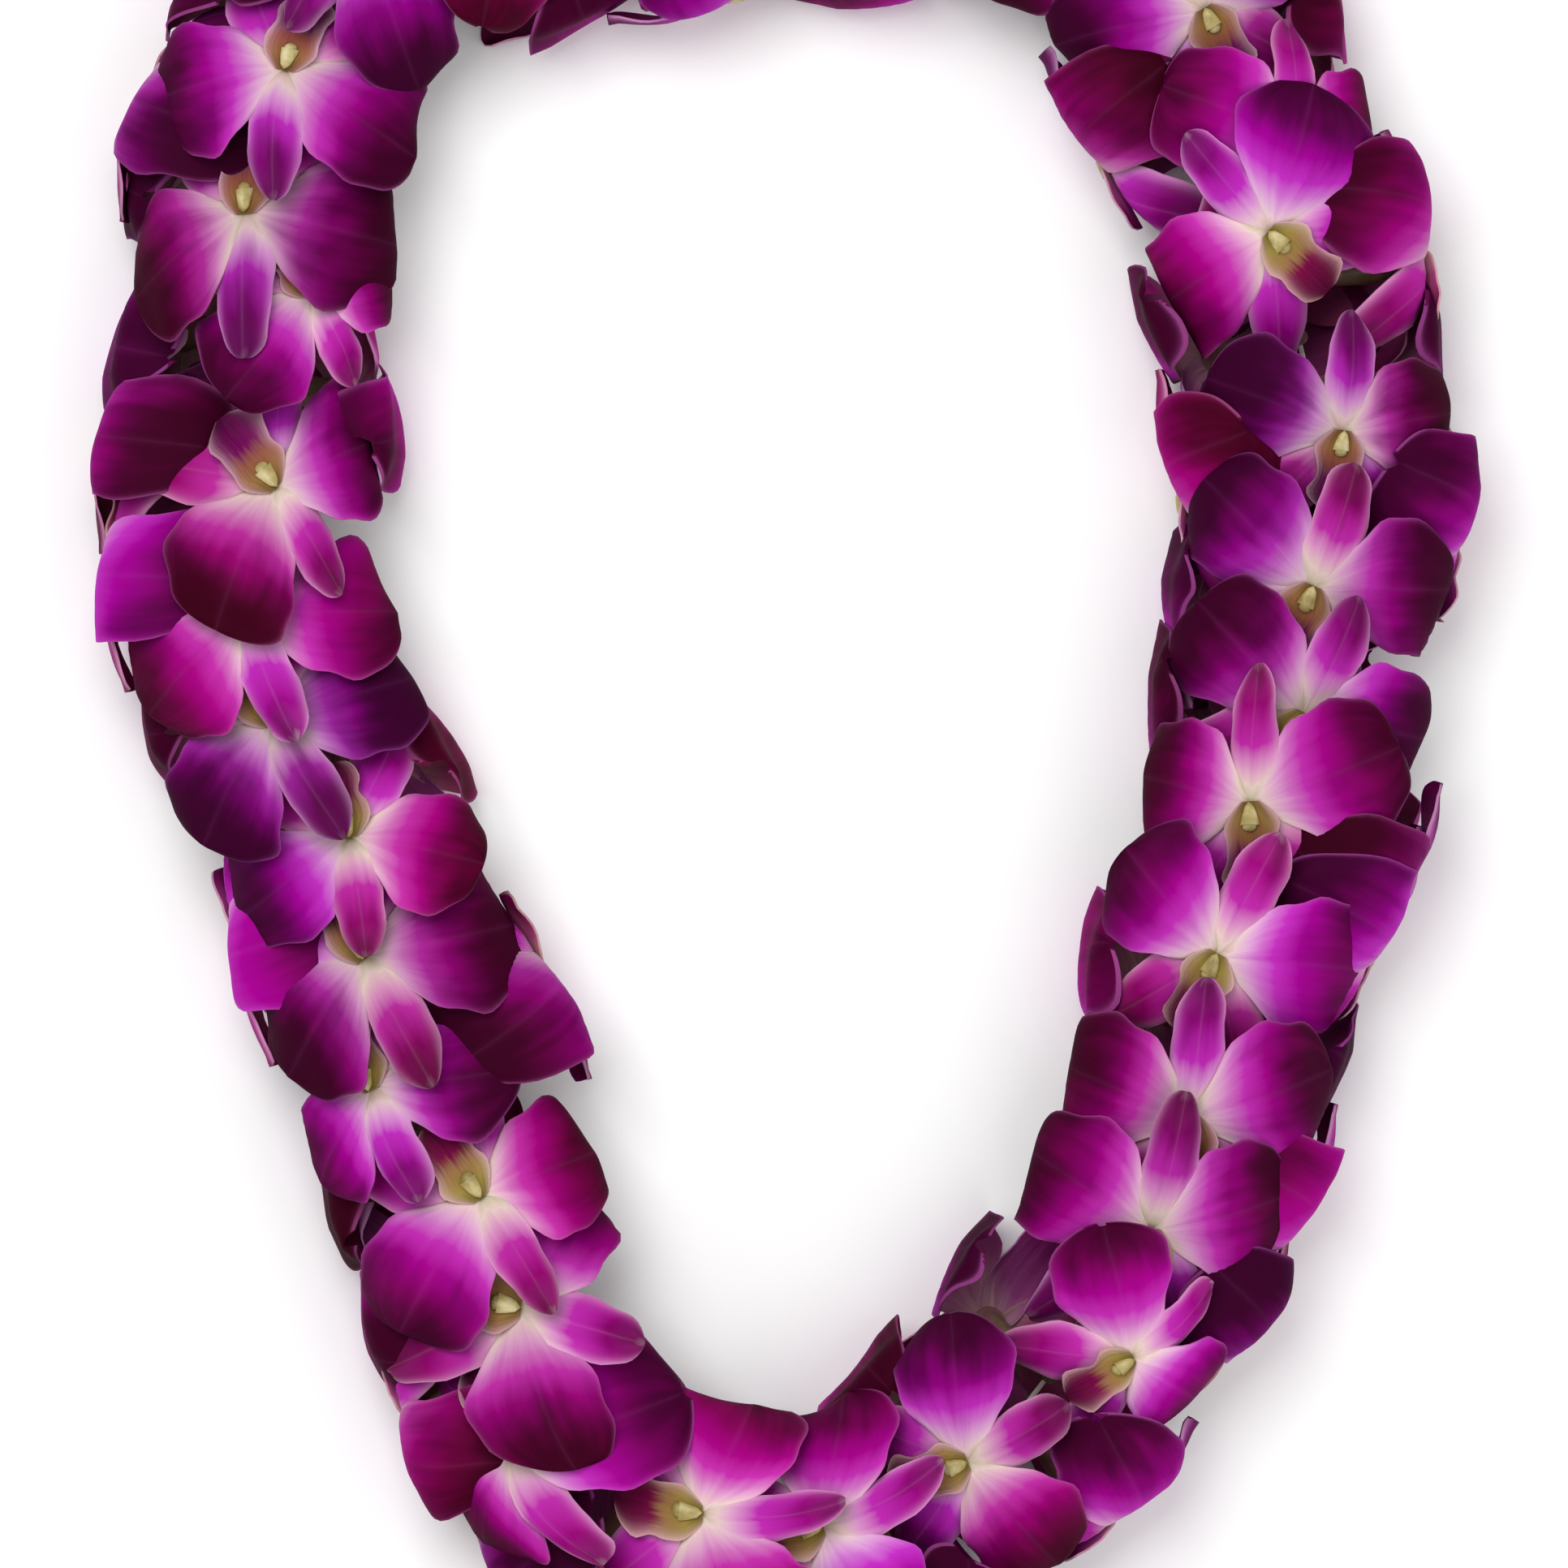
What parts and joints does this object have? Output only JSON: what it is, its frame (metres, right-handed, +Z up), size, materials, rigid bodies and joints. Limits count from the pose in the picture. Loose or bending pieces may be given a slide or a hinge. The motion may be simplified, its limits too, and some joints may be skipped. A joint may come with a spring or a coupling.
{
  "type": "fresh flower lei",
  "caption": "Fresh flower garland: magenta-purple orchid blooms with cream throats, strung on a thread that is knotted into one closed loop and laid flat.",
  "frame": {"origin": "under the middle of the loop's box, on the surface that it lies on", "axes": "+Z up, out of the surface; +Y along the loop's longer way, towards the knot"},
  "size_m": [0.3092, 0.4466, 0.0491],
  "materials": {
    "petals": "satin petals, white at the throat, magenta to deep purple outwards",
    "thread": "matte twisted cotton"
  },
  "bodies": {
    "root": {"blooms_01": "petals", "blooms_02": "petals", "blooms_03": "petals", "blooms_04": "petals", "blooms_05": "petals", "blooms_06": "petals", "blooms_07": "petals", "blooms_08": "petals", "blooms_09": "petals", "blooms_10": "petals", "blooms_11": "petals", "blooms_12": "petals", "blooms_13": "petals", "blooms_14": "petals", "blooms_15": "petals", "blooms_16": "petals", "blooms_17": "petals", "blooms_18": "petals", "blooms_19": "petals", "blooms_20": "petals", "blooms_21": "petals", "blooms_22": "petals", "blooms_23": "petals", "blooms_24": "petals", "blooms_25": "petals", "blooms_26": "petals", "blooms_27": "petals", "blooms_28": "petals", "blooms_29": "petals", "blooms_30": "petals", "blooms_31": "petals", "blooms_32": "petals", "thread": "thread", "knot": "thread"}
  },
  "joints": []
}
